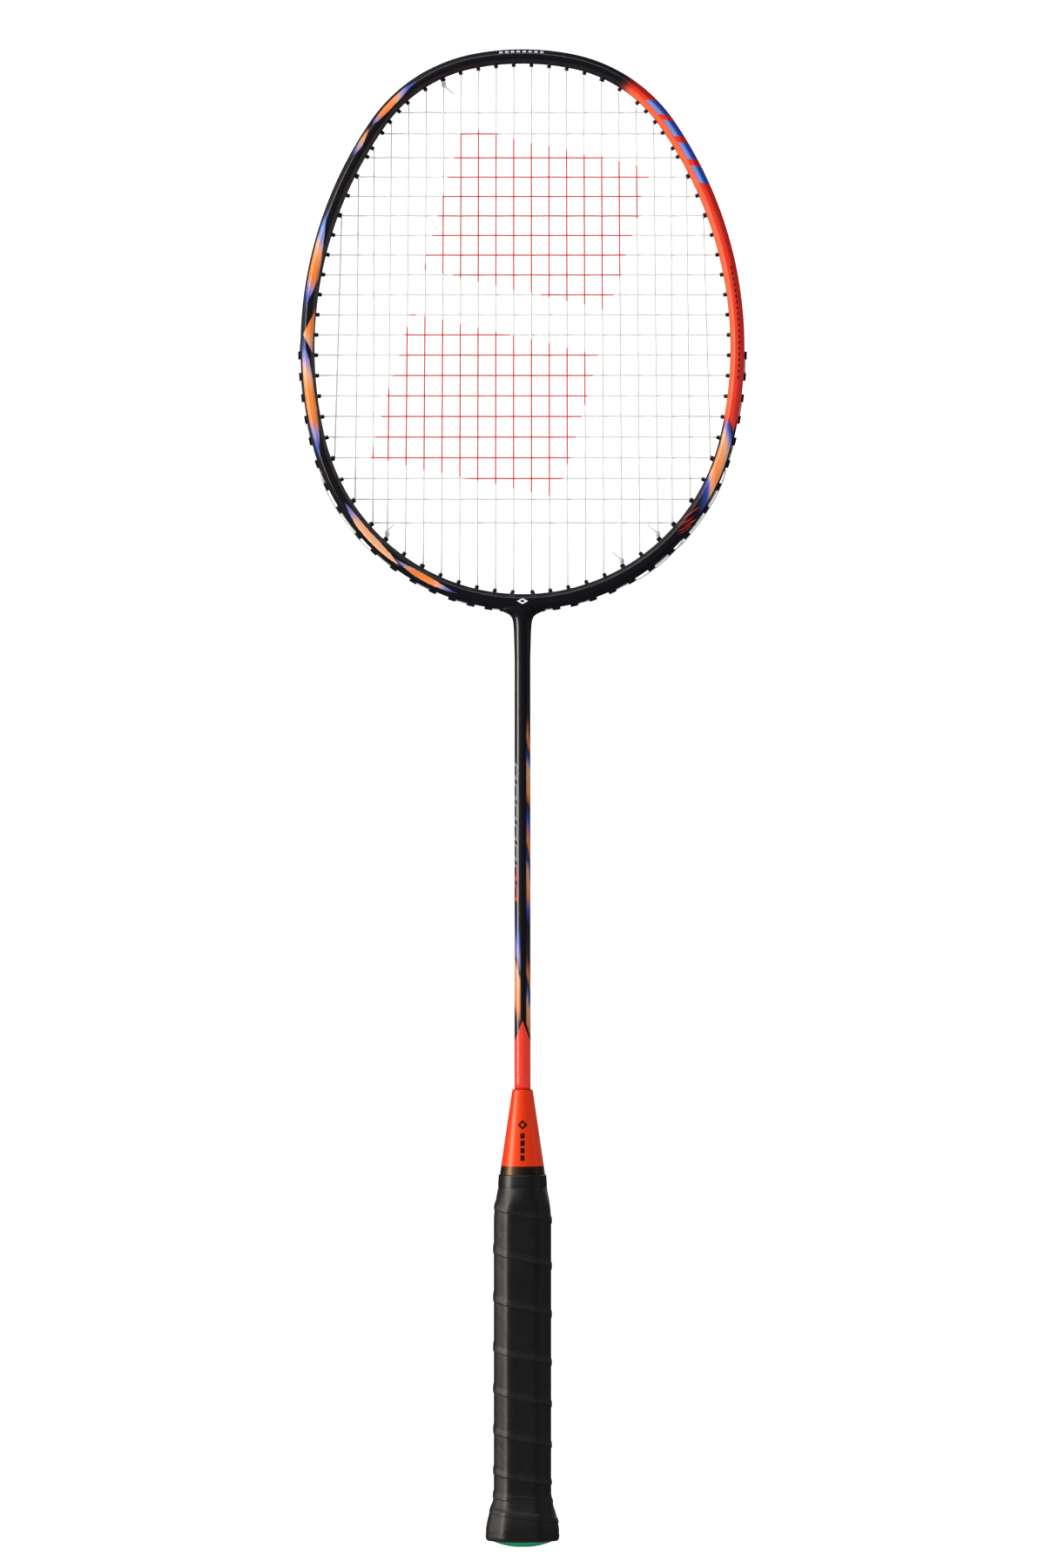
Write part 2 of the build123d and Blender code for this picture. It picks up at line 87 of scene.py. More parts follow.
# Grip: (height, width) of the octagon, which is shallower than it is wide
grip_sections = [
    (0.0, 29.4), (2.8, 31.6), (4.2, 32.6), (6.8, 33.2), (10.5, 32.2), (14.5, 30.3),
    (18.5, 27.9), (22.0, 26.4), (27.0, 26.0), (146.0, 26.0), (152.0, 25.3), (157.0, 23.8),
    (162.4, 21.7),
]
grip_flattening, grip_round_start = 3.0, 150.0
bevel_share, corner_softness = 0.27, 22
# The tape's lower edge as (turn, height); whole turns lie on the left and half turns on the right
tape_edge = [
    (-0.6, 162.2), (-0.3, 158.2), (0.0, 152.4), (0.5, 145.8), (1.0, 132.9), (1.5, 125.2),
    (2.0, 111.3), (2.5, 103.4), (3.0, 88.6), (3.5, 81.6), (4.0, 70.0), (4.5, 62.8), (5.0, 51.5),
    (5.5, 44.4), (6.0, 33.0), (6.5, 27.6), (7.0, 22.0), (7.5, 19.4), (8.0, 15.8), (8.5, 10.4),
    (9.0, 2.8), (9.9, 2.8),
]
tape_thickness, tape_lip_thickness, tape_overlap = 1.5, 0.6, 1.5
tape_slope, tape_raise = 1.9, 0.38
# The rounded lip as (distance in, share of the raise), and where points lie across the tape
tape_lip = [(0.0, 0.1), (0.02, 0.35), (0.14, 0.66), (0.36, 0.88), (0.62, 0.98)]
tape_across = [
    0.06, 0.1, 0.14, 0.18, 0.22, 0.26, 0.3, 0.36, 0.44, 0.54, 0.64, 0.74, 0.84, 0.92, 0.98,
]
tape_steps_per_turn = 120
wrap_top_z = 162.2

band_z, band_top_z = 161.8, 167.6
cone_top_z, collar_z = 205.9, 171.6
cone_bore, cone_neck, cone_step_z, band_bore = 7.5, 3.5, 182.0, 8.6


# ---------------------------------------------------------------- camera, floor and light
def facing(obj, target):
    """Turn a camera or light to look at a point."""
    direction = Vector(target) - obj.location
    obj.rotation_euler = direction.to_track_quat("-Z", "Y").to_euler()


def put(name, data):
    obj = bpy.data.objects.new(name, data)
    bpy.context.scene.collection.objects.link(obj)
    return obj


camera_distance, camera_height, light_aim = 3.537, 0.3437, (0, 0, 0.34)
camera = put("camera", bpy.data.cameras.new("camera"))
camera.data.lens, camera.data.sensor_width = 180, 36
camera.location = (0, -camera_distance, camera_height)
facing(camera, (0, 0, camera_height))
scene = bpy.context.scene
scene.camera = camera
scene.view_settings.view_transform = "Standard"

world = bpy.data.worlds.new("studio")
world.use_nodes = True
background = world.node_tree.nodes["Background"].inputs
background["Color"].default_value = (0.7, 0.72, 0.78, 1)
background["Strength"].default_value = 0.025
scene.world = world


def soft_box(name, location, size, power, color=(1, 1, 1)):
    """A rectangular light of a size in metres and a power in watts."""
    light = put(name, bpy.data.lights.new(name, "AREA"))
    light.data.shape, light.data.size, light.data.size_y = "RECTANGLE", *size
    light.data.energy, light.data.color = power, color
    light.location = location
    facing(light, light_aim)


soft_box("key_light", (-2.7, -0.9, 0.7), (0.8, 2.8), 98, (1.0, 0.91, 0.82))
soft_box("front_light", (-1.9, -3.0, 2.6), (1.2, 1.0), 25, (1.0, 0.98, 0.96))
soft_box("right_light", (2.7, -0.4, 0.8), (0.7, 2.2), 2, (0.82, 0.9, 1.0))
soft_box("back_light", (1.8, 2.6, 1.4), (1.2, 1.6), 12)
soft_box("top_light", (-0.2, -0.75, 3.1), (3.4, 0.45), 36, (0.86, 0.9, 1.0))


# ---------------------------------------------------------------- materials
def rgb(code):
    """A hex colour as linear RGBA."""
    shares = [int(code[i : i + 2], 16) / 255 for i in (0, 2, 4)]
    linear = [s / 12.92 if s <= 0.04045 else ((s + 0.055) / 1.055) ** 2.4 for s in shares]
    return (*linear, 1.0)


class Finish:
    """A material built a node at a time. An input takes a number, a colour or another output."""

    def __init__(self, name):
        self.material = bpy.data.materials.new(name)
        self.material.use_nodes = True
        self.tree = self.material.node_tree
        self.tree.nodes.clear()
        self.place = self.node("TexCoord", output="Object")
        self.uv = self.node("TexCoord", output="UV")

    def node(self, kind, inputs=None, output=0, **settings):
        node = self.tree.nodes.new(f"ShaderNode{kind}")
        for key, value in settings.items():
            setattr(node, key, value)
        for socket, value in (inputs or {}).items():
            if isinstance(value, bpy.types.NodeSocket):
                self.tree.links.new(value, node.inputs[socket])
            else:
                node.inputs[socket].default_value = value
        return node.outputs[output]

    def math(self, operation, *values, clamp=False):
        return self.node("Math", dict(enumerate(values)), operation=operation, use_clamp=clamp)

    def times(self, a, b):
        return self.math("MULTIPLY", a, b)

    def plus(self, a, b, clamp=False):
        return self.math("ADD", a, b, clamp=clamp)

    def in_mm(self, metres):
        return self.times(metres, 1000.0)

    def split(self, vector):
        axes = self.tree.nodes.new("ShaderNodeSeparateXYZ")
        self.tree.links.new(vector, axes.inputs[0])
        return axes.outputs

    def stretched(self, vector, scale):
        return self.node("Mapping", {"Vector": vector, "Scale": scale})

    def noise(self, vector, scale, detail=2.0, roughness=0.5, distortion=0.0):
        inputs = {"Vector": vector, "Scale": scale, "Detail": detail,
                  "Roughness": roughness, "Distortion": distortion}
        return self.node("TexNoise", inputs)

    def cells(self, vector, scale, feature="F1", randomness=1.0):
        inputs = {"Vector": vector, "Scale": scale, "Randomness": randomness}
        return self.node("TexVoronoi", inputs, "Distance", feature=feature)

    def step(self, value, edge, soft):
        """0 below the edge and 1 above it."""
        inputs = {"Value": value, "From Min": edge - soft, "From Max": edge + soft}
        return self.node("MapRange", inputs, interpolation_type="SMOOTHSTEP")

    def band(self, value, low, high, soft):
        """1 between low and high."""
        inside, beyond = self.step(value, low, soft), self.step(value, high, soft)
        return self.math("SUBTRACT", inside, beyond, clamp=True)

    def repeat(self, value, start, pitch, share, soft=0.02):
        """1 on the first share of each pitch, counted from start."""
        turns = self.math("DIVIDE", self.math("SUBTRACT", value, start), pitch)
        return self.band(self.math("FRACT", turns), soft, share, soft)

    def all_of(self, *masks):
        result = masks[0]
        for mask in masks[1:]:
            result = self.times(result, mask)
        return result

    def mix(self, factor, a, b, blend="MIX"):
        inputs = {0: factor, 6: a, 7: b}
        return self.node("Mix", inputs, 2, data_type="RGBA", blend_type=blend)

    def ramp(self, factor, stops, interpolation="LINEAR"):
        node = self.tree.nodes.new("ShaderNodeValToRGB")
        node.color_ramp.interpolation = interpolation
        elements = node.color_ramp.elements
        elements.remove(elements[1])
        for i, (position, color) in enumerate(stops):
            element = elements[0] if i == 0 else elements.new(position)
            element.position, element.color = position, color
        self.tree.links.new(factor, node.inputs[0])
        return node.outputs[0]

    def grey(self, factor, low, high):
        """A number between low and high."""
        inputs = {"Value": factor, "To Min": low, "To Max": high}
        return self.node("MapRange", inputs)

    def bump(self, height, distance, under=None):
        inputs = {"Height": height, "Distance": distance, "Strength": 1.0}
        if under is not None:
            inputs["Normal"] = under
        return self.node("Bump", inputs)

    def soft_edges(self, radius):
        return self.node("Bevel", {"Radius": radius}, samples=6)

    def surface(self, **sockets):
        """The finished shader; underscores in names stand for spaces."""
        inputs = {key.replace("_", " "): value for key, value in sockets.items()}
        shader = self.node("BsdfPrincipled", inputs)
        output = self.tree.nodes.new("ShaderNodeOutputMaterial")
        self.tree.links.new(shader, output.inputs["Surface"])
        return self.material


black, navy = rgb("050509"), rgb("10163a")
orange, pale_orange = rgb("ee8230"), rgb("e0a47c")
blue, light_blue = rgb("2442a4"), rgb("6c94dc")
lavender, fire, ember, white = rgb("8d86c0"), rgb("e42e10"), rgb("560a08"), rgb("e8e8ea")
gold_mica = rgb("ffb040")

# The colours along each side of the hoop, as (distance from the top in mm, colour). The left
# side has two layers of flames, so that one may begin beside the end of another.
left_colors = [
    (0, navy), (49, blue), (55, blue), (58, lavender), (61, pale_orange), (65, orange),
    (72, orange), (75, lavender), (79, navy), (118, navy), (124, blue), (130, light_blue),
    (134, lavender), (138, pale_orange), (145, orange), (153, orange), (157, lavender),
    (161, blue), (168, navy), (177, navy), (184, blue), (189, lavender), (195, pale_orange),
    (203, orange), (216, orange), (222, lavender), (228, blue), (235, navy), (255, blue),
    (262, lavender), (266, pale_orange), (293, pale_orange),
]
left_layered_colors = [
    (0, navy), (79, navy), (82, orange), (87, pale_orange), (91, lavender), (95, navy),
    (163, orange), (175, orange), (180, pale_orange), (183, lavender), (186, navy), (289, blue),
    (294, lavender), (297, pale_orange), (301, orange), (309, orange), (313, pale_orange),
    (316, lavender), (320, blue), (325, navy),
]
right_paint = [
    (0, black), (46, black), (50, ember), (55, fire), (216, fire), (217, navy), (220, blue),
    (223, lavender), (226, pale_orange), (240, orange), (246, pale_orange), (249, blue),
    (256, navy), (259, black),
]
# How far across the hoop each layer's flames reach, as (distance, inner edge, outer edge, hatching)
left_edges = [
    (0, 0.7, 0.7, 0), (49, 0.7, 0.7, 0), (54, 0.5, 0.82, 0), (60, 0.36, 0.84, 0),
    (68, 0.36, 0.84, 0.4), (74, 0.5, 0.82, 1), (78, 0.76, 0.78, 0), (80, 0.78, 0.78, 0),
    (117, 0.8, 0.8, 0), (126, 0.6, 0.86, 0), (134, 0.34, 0.88, 0), (143, 0.17, 0.88, 0.2),
    (151, 0.15, 0.88, 1), (157, 0.34, 0.87, 0.6), (163, 0.64, 0.86, 0), (168, 0.84, 0.84, 0),
    (176, 0.84, 0.84, 0), (182, 0.6, 0.87, 0), (189, 0.34, 0.88, 0), (197, 0.18, 0.88, 0),
    (210, 0.15, 0.88, 0.1), (217, 0.2, 0.86, 1), (224, 0.36, 0.84, 0.6), (231, 0.6, 0.8, 0),
    (235, 0.78, 0.78, 0), (255, 0.46, 0.46, 0), (260, 0.32, 0.62, 0), (267, 0.28, 0.76, 0),
    (279, 0.28, 0.78, 0), (287, 0.42, 0.77, 0), (293, 0.66, 0.7, 0), (294, 0.7, 0.7, 0),
]
left_layered_edges = [
    (0, 0.8, 0.8, 1), (79, 0.8, 0.8, 1), (83, 0.6, 0.88, 1), (88, 0.5, 0.9, 1),
    (92, 0.62, 0.9, 0.5), (96, 0.88, 0.88, 0), (163, 0.06, 0.06, 0), (167, 0.06, 0.14, 0),
    (173, 0.06, 0.54, 0), (177, 0.08, 0.84, 0), (181, 0.1, 0.5, 0.5), (185, 0.12, 0.14, 0),
    (188, 0.14, 0.14, 0), (289, 0.5, 0.5, 0), (294, 0.4, 0.62, 1), (300, 0.3, 0.72, 1),
    (304, 0.29, 0.74, 0.3), (310, 0.32, 0.74, 0), (316, 0.46, 0.7, 0), (323, 0.62, 0.64, 0),
    (325, 0.64, 0.64, 0),
]
half_round = 351.6  # from the top of the hoop to its bottom, along its middle


def along_hoop(paint, distance, stops):
    places = [(place / half_round, color) for place, color in stops]
    return paint.ramp(paint.math("DIVIDE", distance, half_round), places)


def lacquered(paint, color):
    """The hoop's and shaft's surface: pearl flake under a worn clear lacquer."""
    flake = paint.step(paint.cells(paint.place, 5200.0), 0.42, 0.3)
    color = paint.mix(paint.times(flake, 0.012), color, lavender)
    ripple = paint.bump(paint.noise(paint.place, 420.0), 0.00003)
    worn = paint.noise(paint.place, 60.0, 4.0, 0.7)
    return paint.surface(
        Base_Color=color, Roughness=paint.grey(worn, 0.34, 0.46), Coat_Weight=0.8,
        Coat_Roughness=0.2, Specular_IOR_Level=0.35, Normal=ripple,
    )


def hoop_paint():
    paint = Finish("painted_hoop")
    along, across, _ = paint.split(paint.uv)
    along = paint.in_mm(along)
    x, y, z = paint.split(paint.place)

    # Brushed, slanting edges: the distance along the hoop is shifted across it and along streaks
    side = paint.math("SIGN", along)
    distance = paint.math("ABSOLUTE", along)
    on_right = paint.step(side, 0.0, 0.5)
    across_mm = paint.times(across, 6.4)
    streak = paint.plus(paint.times(distance, 0.34), across_mm)
    streaks = paint.node("CombineXYZ", {0: paint.times(streak, 2.6),
                                        1: paint.times(distance, 0.06)})
    ragged = paint.noise(streaks, 1.0, 3.0, 0.7)
    ragged = paint.times(paint.math("SUBTRACT", ragged, 0.5), 11.0)
    slant = paint.times(paint.math("SUBTRACT", across, 0.5), 6.0)
    flowing = paint.plus(distance, slant)
    flowing = paint.plus(flowing, paint.times(ragged, 0.45))
    cut = paint.plus(distance, paint.times(slant, -2.0))
    edge = paint.plus(across, paint.times(ragged, 0.012))
    lines = paint.plus(paint.times(distance, 0.62), across_mm)
    hatch = paint.times(paint.repeat(lines, 0.0, 0.74, 0.42, 0.14), 0.7)

    def flames(color, colors, edges):
        """A layer of flames laid over a colour."""
        reach = along_hoop(paint, distance, [(place, (*edge_row, 1)) for place, *edge_row in edges])
        low, high, hatching = paint.split(reach)
        inside = paint.all_of(paint.step(paint.math("SUBTRACT", edge, low), 0.02, 0.02),
                              paint.step(paint.math("SUBTRACT", high, edge), 0.02, 0.02))
        layer = along_hoop(paint, flowing, colors)
        layer = paint.mix(paint.all_of(hatch, hatching), layer, navy)
        return paint.mix(inside, color, layer)

    left = flames(black, left_colors, left_edges)
    left = flames(left, left_layered_colors, left_layered_edges)
    right_flow = paint.mix(paint.step(distance, 205.0, 0.5), distance, cut)
    right = along_hoop(paint, right_flow, right_paint)
    flecks = paint.step(paint.noise(streaks, 1.3), 0.6, 0.02)
    flecks = paint.all_of(flecks, paint.band(distance, 258.0, 272.0, 2.0))
    right = paint.mix(flecks, right, fire)
    rims = paint.math("SUBTRACT", 1.0, paint.band(edge, 0.12, 0.86, 0.03))
    right = paint.mix(paint.all_of(rims, paint.step(distance, 214.0, 1.0)), right, black)
    arm = paint.band(distance, 52.0, 216.0, 4.0)
    # Painted light and shade across the orange arm: a lighter orange on its inner bevel is a
    # painted highlight from the left, and a darker red on its outer side is painted shade.
    painted_lit_inner_side = paint.mix(paint.step(across, 0.3, 0.2), rgb("ec5420"), fire)
    painted_light_and_shade = paint.mix(paint.step(across, 0.66, 0.2), painted_lit_inner_side, rgb("c41e0c"))
    right = paint.mix(arm, right, painted_light_and_shade)
    color = paint.mix(on_right, left, right)

    # Slanting blue blocks with a pale inner edge on the orange arm
    leaning = paint.plus(distance, paint.times(across, -5.0))
    label = paint.all_of(on_right, paint.band(leaning, 59.0, 107.0, 0.15))
    blocks = paint.all_of(label, paint.repeat(leaning, 59.0, 12.0, 0.74),
                          paint.band(across, 0.36, 0.97, 0.02))
    color = paint.mix(blocks, color, paint.mix(paint.step(across, 0.62, 0.18), light_blue, blue))

    # Rows of plain dashes
    small = paint.all_of(on_right, paint.band(distance, 146.0, 198.0, 0.1),
                         paint.repeat(distance, 146.0, 2.6, 0.62),
                         paint.band(across, 0.55, 0.68, 0.02))
    color = paint.mix(small, color, ember)
    crown = paint.all_of(paint.band(along, -10.4, 10.4, 0.05),
                         paint.repeat(along, -10.4, 2.6, 0.6),
                         paint.band(across, 0.72, 0.88, 0.02))
    color = paint.mix(crown, color, white)

    # One small lozenge above the shaft
    up = paint.math("ABSOLUTE", paint.math("SUBTRACT", paint.in_mm(z), 426.1))
    sideways = paint.in_mm(paint.math("ABSOLUTE", x))
    lozenge = paint.plus(paint.times(up, 1.9), sideways)
    on_faces = paint.step(paint.math("ABSOLUTE", y), 0.0045, 0.0002)
    lozenge = paint.all_of(paint.band(lozenge, 1.2, 2.5, 0.08), on_faces)
    color = paint.mix(lozenge, color, white)
    return lacquered(paint, color)


def shaft_paint():
    paint = Finish("painted_shaft")
    x, y, z = paint.split(paint.place)
    height = paint.in_mm(z)
    around = paint.math("ARCTAN2", x, paint.times(y, -1.0))
    around = paint.times(around, 180 / pi)
    ragged = paint.noise(paint.stretched(paint.place, (700, 700, 60)), 1.0, 3.0, 0.6)
    ragged = paint.times(paint.math("SUBTRACT", ragged, 0.5), 16.0)
    flowing = paint.plus(height, ragged)
    flowing = paint.plus(flowing, paint.times(around, 0.12))
    flames_top = 400.0

    # Flames on the right side, then on both sides just above the orange sleeve
    def flames(stops):
        places = [(place / flames_top, color) for place, color in stops]
        return paint.ramp(paint.math("DIVIDE", flowing, flames_top), places)

    right = flames([
        (0, black), (236, black), (240, orange), (250, pale_orange), (254, blue), (259, black),
        (262, orange), (272, ember), (280, navy), (286, black), (292, blue), (298, orange),
        (308, pale_orange), (312, blue), (318, black), (322, orange), (331, blue), (340, black),
        (345, orange), (356, pale_orange), (360, blue), (366, black), (370, orange), (376, ember),
        (380, black),
    ])
    left = flames([
        (0, black), (232, black), (237, orange), (254, pale_orange), (258, ember),
        (263, lavender), (269, blue), (276, navy), (284, black),
    ])
    on_right = paint.band(around, 30.0, 150.0, 6.0)
    on_left = paint.band(around, -150.0, -16.0, 6.0)
    color = paint.mix(paint.times(on_right, 0.7), black, right)
    color = paint.mix(paint.times(on_left, 0.75), color, left)

    # A column of outlined slanting blocks down the left side
    slanted = paint.plus(height, paint.times(around, 0.05))
    column = paint.all_of(paint.band(around, -104.0, -44.0, 1.5),
                          paint.band(slanted, 288.0, 352.0, 0.2))
    block = paint.all_of(column, paint.repeat(slanted, 288.0, 9.1, 0.82))
    hollow = paint.all_of(paint.band(around, -97.0, -52.0, 1.5),
                          paint.repeat(slanted, 289.2, 9.1, 0.56))
    tint = paint.mix(paint.step(height, 306.0, 1.0), fire, rgb("7f8894"))
    color = paint.mix(paint.math("SUBTRACT", block, hollow, clamp=True), color, tint)

    # The orange sleeve ends in a point at the front and at the back
    folded = paint.math("ABSOLUTE", paint.math("SINE", paint.times(around, pi / 180)))
    point = paint.plus(height, paint.times(folded, 9.5))
    color = paint.mix(paint.band(point, 237.2, 239.4, 0.25), color, black)
    sleeve = paint.math("SUBTRACT", 1.0, paint.step(point, 237.0, 0.2))
    color = paint.mix(sleeve, color, fire)
    return lacquered(paint, color)


def cone_paint():
    paint = Finish("cone_paint")
    x, y, z = paint.split(paint.place)
    height = paint.in_mm(z)
    sideways = paint.in_mm(paint.math("ABSOLUTE", x))
    speckle = paint.noise(paint.place, 900.0, 3.0)
    color = paint.mix(paint.times(speckle, 0.25), fire, rgb("c82008"))
    # A plain bar with a lozenge over it, front and back
    bar = paint.all_of(paint.band(height, 174.0, 186.6, 0.1),
                       paint.band(sideways, -1.0, 1.0, 0.06))
    gaps = paint.repeat(height, 174.0, 3.3, 0.8, 0.03)
    up = paint.math("ABSOLUTE", paint.math("SUBTRACT", height, 190.2))
    lozenge = paint.band(paint.plus(up, sideways), 1.0, 2.3, 0.08)
    marks = paint.plus(paint.all_of(bar, gaps), lozenge, clamp=True)
    color = paint.mix(marks, color, rgb("1a0c0a"))
    color = paint.mix(paint.step(height, collar_z, 0.12), rgb("101013"), color)
    grain = paint.bump(paint.noise(paint.place, 2600.0, 2.0), 0.00002, paint.soft_edges(0.0003))
    return paint.surface(
        Base_Color=color, Roughness=paint.grey(speckle, 0.36, 0.48), Coat_Weight=0.5,
        Coat_Roughness=0.32, Specular_IOR_Level=0.9, Specular_Tint=gold_mica, Normal=grain,
    )


def grip_leather():
    paint = Finish("grip_tape")
    mottle = paint.noise(paint.place, 140.0, 5.0, 0.6)
    pores = paint.cells(paint.place, 2600.0, "SMOOTH_F1")
    creases = paint.cells(paint.stretched(paint.place, (1, 1, 1.6)), 900.0, "DISTANCE_TO_EDGE")
    color = paint.mix(mottle, rgb("0e0e0f"), rgb("1a1918"))
    color = paint.mix(paint.step(pores, 0.32, 0.2), rgb("080809"), color)
    across = paint.split(paint.uv)[1]
    # A lighter warm band along each turn's lower edge is a painted highlight on the raised lip.
    painted_lip_highlight = paint.times(paint.band(across, 0.0, 0.1, 0.05), 0.3)
    color = paint.mix(painted_lip_highlight, color, rgb("2c2926"))
    creases = paint.math("MINIMUM", creases, 0.12)
    height = paint.plus(paint.times(pores, 0.6), creases)
    grain = paint.bump(height, 0.00005)
    grain = paint.bump(mottle, 0.0003, grain)
    return paint.surface(
        Base_Color=color, Roughness=paint.grey(mottle, 0.38, 0.5), Normal=grain,
        Sheen_Weight=0.04, Sheen_Roughness=0.5,
    )


def band_vinyl():
    paint = Finish("grip_band")
    smudge = paint.noise(paint.place, 220.0, 4.0, 0.6)
    color = paint.mix(smudge, rgb("0f0f11"), rgb("1d1d20"))
    stretch = paint.noise(paint.stretched(paint.place, (60, 60, 900)), 1.0, 2.0)
    return paint.surface(
        Base_Color=color, Roughness=paint.grey(smudge, 0.3, 0.46),
        Normal=paint.bump(stretch, 0.00006),
    )


def cap_plastic():
    paint = Finish("cap_plastic")
    swirl = paint.noise(paint.place, 160.0, 4.0, 0.6, 1.5)
    color = paint.mix(swirl, rgb("04714f"), rgb("0a8f63"))
    grain = paint.bump(paint.noise(paint.place, 3200.0), 0.00003)
    return paint.surface(Base_Color=color, Roughness=paint.grey(swirl, 0.34, 0.5), Normal=grain)


def grommet_nylon():
    paint = Finish("grommet_nylon")
    haze = paint.noise(paint.place, 500.0, 3.0)
    color = paint.mix(haze, rgb("0b0b0d"), rgb("1a1a1d"))
    grain = paint.bump(paint.noise(paint.place, 4200.0), 0.00003, paint.soft_edges(0.00022))
    return paint.surface(Base_Color=color, Roughness=paint.grey(haze, 0.34, 0.55), Normal=grain)


def string_nylon():
    paint = Finish("string_nylon")
    x, y, z = paint.split(paint.place)
    across, up = paint.in_mm(x), paint.in_mm(z)
    fray = paint.noise(paint.place, 260.0, 2.0)
    fray = paint.times(paint.math("SUBTRACT", fray, 0.5), 3.0)
    # Two leaning blocks of stencil ink, one over the other
    lean = paint.times(paint.math("SUBTRACT", up, 558.0), -0.28)
    leaning = paint.plus(across, lean)
    leaning = paint.plus(leaning, fray)
    width = paint.band(leaning, -50.0, 40.0, 0.3)
    rise = paint.plus(up, paint.times(across, 0.22))
    rise = paint.plus(rise, fray)
    blocks = paint.plus(paint.band(rise, 476.0, 545.0, 0.3),
                        paint.band(rise, 566.0, 634.0, 0.3))
    ink = paint.times(paint.all_of(width, blocks), 0.95)
    speckle = paint.noise(paint.place, 2400.0, 2.0)
    fibre = paint.mix(speckle, rgb("c2c4c0"), rgb("d4d6d2"))
    red = paint.mix(speckle, rgb("c01a16"), rgb("d0241e"))
    braid = paint.node(
        "TexWave", {"Vector": paint.place, "Scale": 900.0, "Distortion": 0.6},
        bands_direction="DIAGONAL",
    )
    return paint.surface(
        Base_Color=paint.mix(ink, fibre, red), Roughness=paint.grey(speckle, 0.28, 0.42),
        Normal=paint.bump(braid, 0.00002), Subsurface_Weight=0.5, Subsurface_Scale=0.0008,
        Subsurface_Radius=(1, 1, 1),
    )


def core_wood():
    paint = Finish("handle_wood")
    rings = paint.node(
        "TexWave", {"Vector": paint.stretched(paint.place, (1, 1, 0.06)), "Scale": 320.0,
                    "Distortion": 5.0, "Detail": 3.0},
    )
    color = paint.mix(rings, rgb("b98a55"), rgb("d6b07a"))
    return paint.surface(Base_Color=color, Roughness=paint.grey(rings, 0.55, 0.7),
                         Normal=paint.bump(rings, 0.0001))


def carbon_weave():
    paint = Finish("carbon_insert")
    tows = paint.node("TexBrick", {"Vector": paint.place, "Scale": 700.0, "Mortar Size": 0.03,
                                   "Color1": rgb("17181b"), "Color2": rgb("26282d"),
                                   "Mortar": rgb("08080a")})
    return paint.surface(Base_Color=tows, Roughness=0.35, Coat_Weight=0.5,
                         Normal=paint.bump(tows, 0.00005))


def studio_white():
    paint = Finish("studio_white")
    haze = paint.noise(paint.place, 0.4)
    return paint.surface(Base_Color=paint.mix(haze, rgb("f6f6f6"), rgb("ffffff")), Roughness=0.9,
                         Emission_Color=(1, 1, 1, 1), Emission_Strength=0.98)


finishes = {
    "painted_hoop": hoop_paint(),
    "painted_shaft": shaft_paint(),
    "cone_paint": cone_paint(),
    "grip_tape": grip_leather(),
    "grip_band": band_vinyl(),
    "cap_plastic": cap_plastic(),
    "grommet_nylon": grommet_nylon(),
    "string_nylon": string_nylon(),
    "handle_wood": core_wood(),
    "carbon_insert": carbon_weave(),
}


# ---------------------------------------------------------------- shape tools
def smooth(table, x, column=1):
    """A curve through a table's rows that never overshoots them, read at x."""
    x = min(max(x, table[0][0]), table[-1][0])
    i = next(i for i in range(len(table) - 1) if x <= table[i + 1][0])
    rises = [(b[column] - a[column]) / (b[0] - a[0]) for a, b in zip(table, table[1:])]

    def slope(k):
        if k == 0 or k == len(rises):
            return rises[min(k, len(rises) - 1)]
        before, after = rises[k - 1], rises[k]
        return 2 * before * after / (before + after) if before * after > 0 else 0.0

    (x0, x1), (y0, y1) = (table[i][0], table[i + 1][0]), (table[i][column], table[i + 1][column])
    span = x1 - x0
    t = (x - x0) / span
    return (
        y0 * (1 + 2 * t) * (1 - t) ** 2 + y1 * t * t * (3 - 2 * t)
        + span * slope(i) * t * (1 - t) ** 2 - span * slope(i + 1) * t * t * (1 - t)
    )


def ease(t):
    t = min(max(t, 0.0), 1.0)
    return t * t * (3 - 2 * t)


def rounded(corners, radii, steps=4):
    """A closed outline with its corners rounded."""
    points = []
    for i, (corner, radius) in enumerate(zip(corners, radii)):
        back, on = corners[i - 1] - corner, corners[(i + 1) % len(corners)] - corner
        reach = radius / tan(back.angle(on) / 2)
        reach = min(max(reach, 0.05), 0.45 * back.length, 0.45 * on.length)
        start, end = corner + back.normalized() * reach, corner + on.normalized() * reach
        for step in range(steps + 1):
            t = step / steps
            points.append(start * (1 - t) ** 2 + corner * 2 * t * (1 - t) + end * t * t)
    return points


def dressed(name, data, finish, nodes):
    """An object in place of CAD nodes, riding on the racket's one body."""
    obj = put(name, data)
    data.materials.append(finishes[finish])
    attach(obj, "root")
    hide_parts(*nodes)
    return obj


def lofted(name, rows, finish, nodes, uv, ring=False, capped=False):
    """A skin over rows of points, each row a closed loop. uv(i, j) is a point's paint place."""
    mesh, built = bpy.data.meshes.new(name), bmesh.new()
    grid = [[built.verts.new(point * MM) for point in row] for row in rows]
    layer = built.loops.layers.uv.new("UVMap")
    columns = len(rows[0])
    for i in range(len(rows) - (0 if ring else 1)):
        for j in range(columns):
            corners = [(i, j), (i + 1, j), (i + 1, j + 1), (i, j + 1)]
            face = built.faces.new([grid[a % len(rows)][b % columns] for a, b in corners])
            for loop, corner in zip(face.loops, corners):
                loop[layer].uv = uv(*corner)
    if capped:
        for end in (grid[0], grid[-1]):
            built.faces.new(end)
    bmesh.ops.recalc_face_normals(built, faces=built.faces)
    for face in built.faces:
        face.smooth = True
    built.to_mesh(mesh)
    built.free()
    obj = dressed(name, mesh, finish, nodes)
    obj.modifiers.new("even_normals", "WEIGHTED_NORMAL").keep_sharp = True
    return obj


